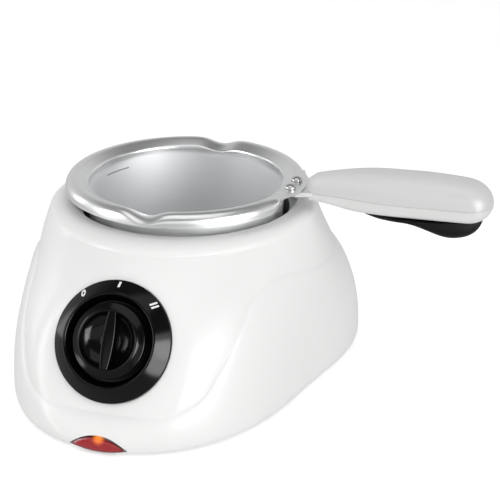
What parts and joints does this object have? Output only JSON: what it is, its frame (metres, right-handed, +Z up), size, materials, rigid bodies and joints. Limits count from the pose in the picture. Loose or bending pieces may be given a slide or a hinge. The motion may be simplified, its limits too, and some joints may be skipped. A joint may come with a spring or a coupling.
{
  "type": "electric chocolate melting pot",
  "caption": "Bell-shaped heating base with a tilted rotary dial, and a lift-out steel pot with a rolled lip, pouring spouts and a riveted side handle, for melting chocolate gently.",
  "frame": {"origin": "On the table, under the pot's vertical axis", "axes": "+Z up along the pot's axis; -Y to the front, where the dial is; +X along the handle"},
  "size_m": [0.2389, 0.2124, 0.1079],
  "materials": {
    "housing_plastic": "smooth glossy moulding",
    "base_plastic": "fine matt moulding",
    "foot_rubber": "matt",
    "screw_steel": "zinc plated",
    "well_aluminium": "spun satin",
    "bracket_steel": "bright sheet",
    "plate_aluminium": "die-cast, turned face",
    "heater_ceramic": "mica and ceramic, dull",
    "insulation_board": "fibre board, dull",
    "thermostat_plastic": "phenolic, dull",
    "fuse_shell": "ceramic sleeve",
    "dial_plastic": "high gloss black",
    "switch_plastic": "fine matt moulding",
    "shaft_plastic": "natural nylon",
    "lens_plastic": "translucent red",
    "lamp_glass": "clear glass, orange glow",
    "block_plastic": "nylon",
    "gland_plastic": "soft moulding",
    "lead_brown": "silicone sleeve",
    "lead_black": "silicone sleeve",
    "lead_blue": "silicone sleeve",
    "lead_red": "silicone sleeve",
    "lead_yellow": "silicone sleeve",
    "pot_steel": "satin stainless steel",
    "rivet_steel": "polished",
    "handle_grey": "satin moulding",
    "handle_white": "smooth moulding",
    "grip_rubber": "soft touch"
  },
  "bodies": {
    "base": {"housing": "housing_plastic", "base_plate": "base_plastic", "rubber_feet": "foot_rubber", "base_screws": "screw_steel", "heating_well": "well_aluminium", "well_ring": "bracket_steel", "ring_screws": "screw_steel", "heater_plate": "plate_aluminium", "heater_element": "heater_ceramic", "insulation_disc": "insulation_board", "clamp_plate": "bracket_steel", "clamp_nuts": "screw_steel", "thermostat": "thermostat_plastic", "thermostat_bracket": "bracket_steel", "bracket_screws": "screw_steel", "thermal_fuse": "fuse_shell", "fuse_clip": "bracket_steel", "dial_bezel": "dial_plastic", "bezel_screws": "screw_steel", "switch_body": "switch_plastic", "switch_cover": "thermostat_plastic", "switch_nut": "screw_steel", "indicator_lens": "lens_plastic", "neon_lamp": "lamp_glass", "lamp_holder": "base_plastic", "terminal_block": "block_plastic", "cord_gland": "gland_plastic", "cord_clamp": "block_plastic", "clamp_screws": "screw_steel", "live_lead": "lead_brown", "switched_lead": "lead_black", "return_lead": "lead_blue", "fuse_lead": "lead_red", "lamp_leads": "lead_yellow"},
    "pot_unit": {"pot": "pot_steel", "handle_bracket": "pot_steel", "handle_rivets": "rivet_steel", "handle_upper_shell": "handle_grey", "handle_lower_shell": "handle_white", "soft_grip": "grip_rubber", "handle_screws": "screw_steel"},
    "knob_unit": {"control_knob": "dial_plastic", "switch_shaft": "shaft_plastic"}
  },
  "joints": [
    {"name": "pot_lift", "type": "slide", "parent": "base", "child": "pot_unit", "axis": [0, 0, 1], "range_m": [0, 0.08]},
    {"name": "dial_turn", "type": "hinge", "parent": "base", "child": "knob_unit", "pos_m": [0, -0.0994, 0.0465], "axis": [0, -0.8746, 0.4848], "range_deg": [-40, 40]}
  ]
}
